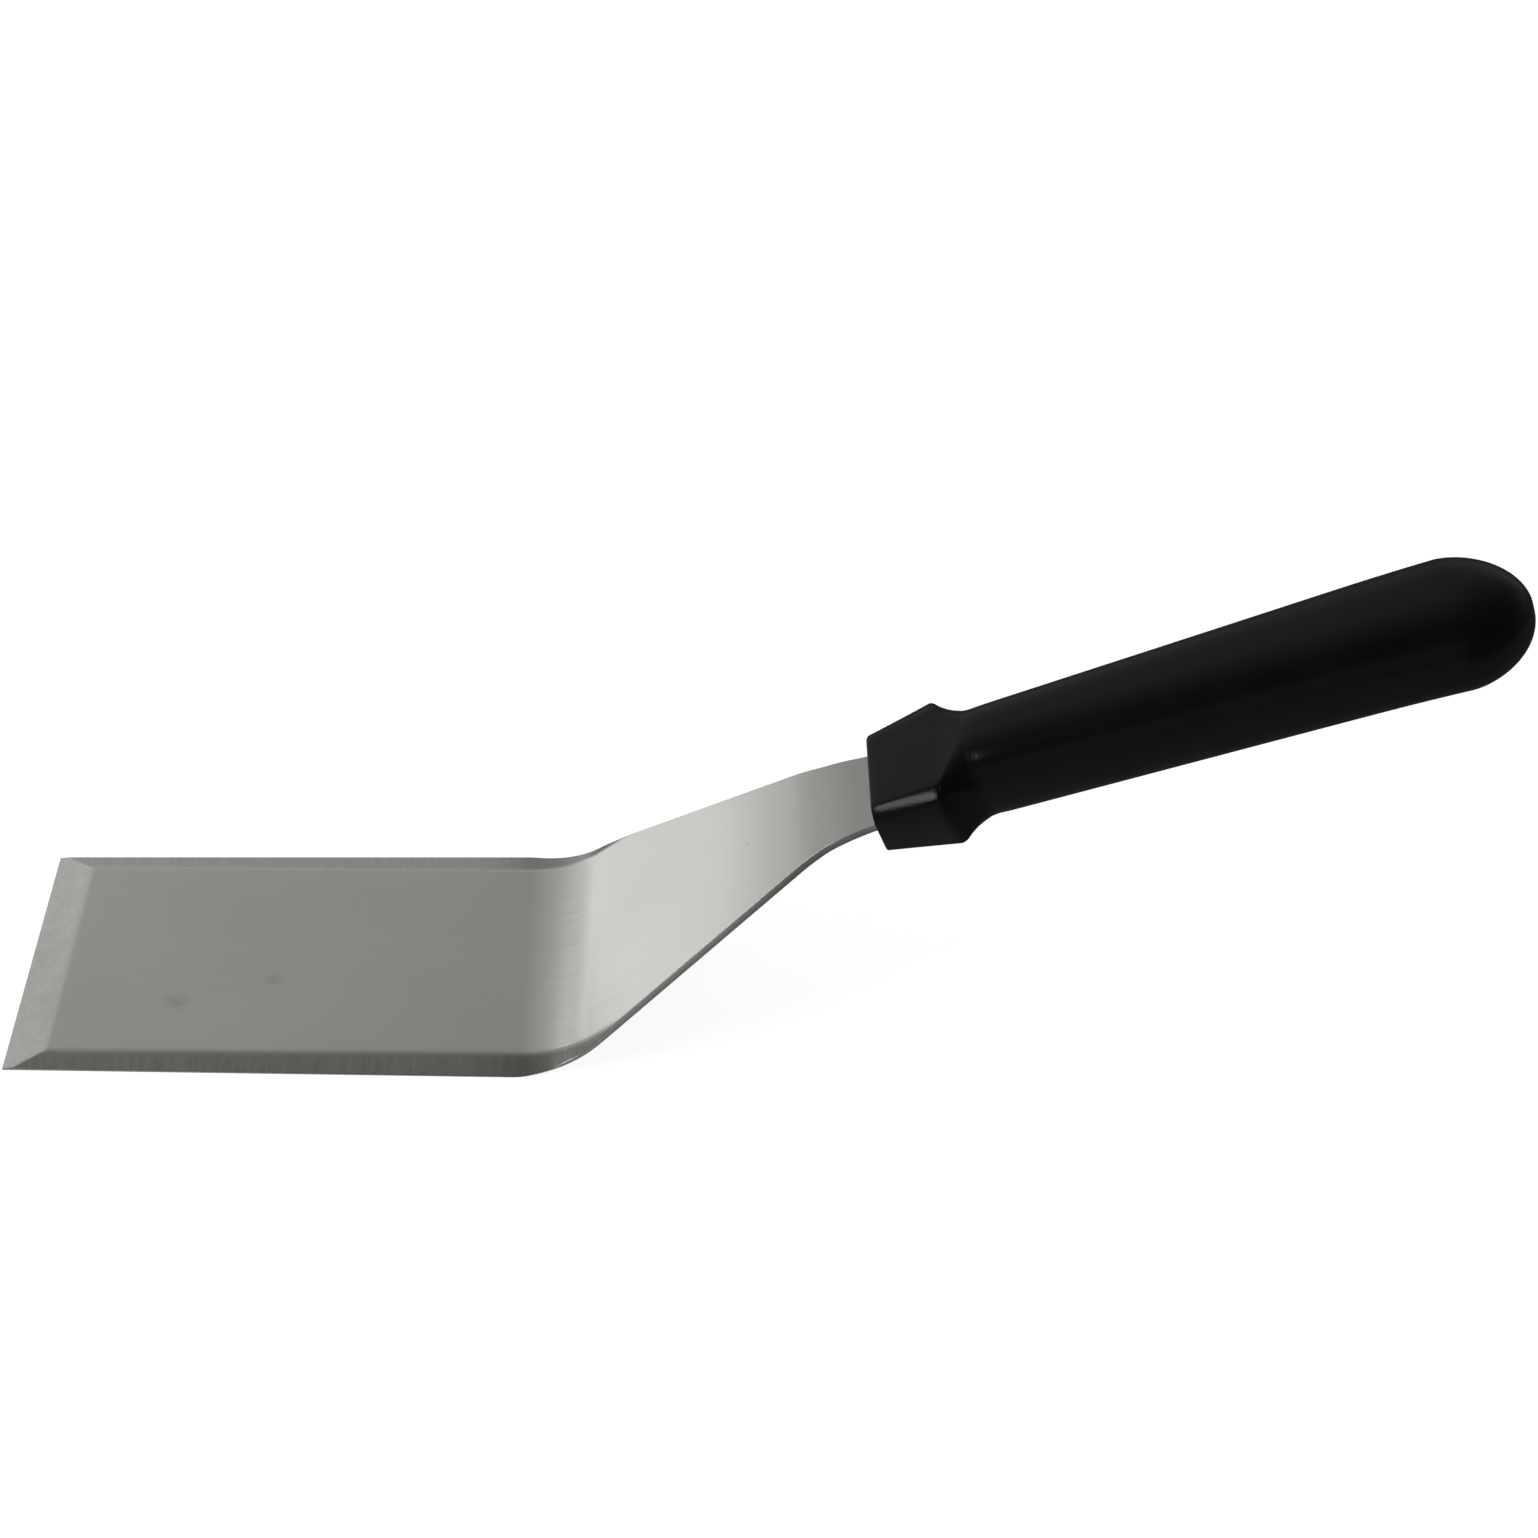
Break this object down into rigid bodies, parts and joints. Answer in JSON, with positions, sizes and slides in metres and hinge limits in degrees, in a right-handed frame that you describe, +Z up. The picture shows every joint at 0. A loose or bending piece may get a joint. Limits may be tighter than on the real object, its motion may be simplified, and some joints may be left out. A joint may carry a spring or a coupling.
{
  "type": "offset spatula",
  "caption": "Offset spatula with a bevelled rectangular steel blade on a cranked neck and a black plastic handle moulded over its tang.",
  "frame": {"origin": "middle of the flat underside of the blade", "axes": "+X along the blade from its tip towards the handle, +Y across it, +Z up, away from the surface it rests on"},
  "size_m": [0.2733, 0.0546, 0.108],
  "materials": {
    "steel": "stainless steel with a fine lengthwise brushed grain; the three bevels carry coarser grinding marks across them",
    "handle_plastic": "satin black moulded plastic with a very fine spark-eroded texture"
  },
  "bodies": {
    "root": {"blade": "steel", "handle": "handle_plastic"}
  },
  "joints": []
}
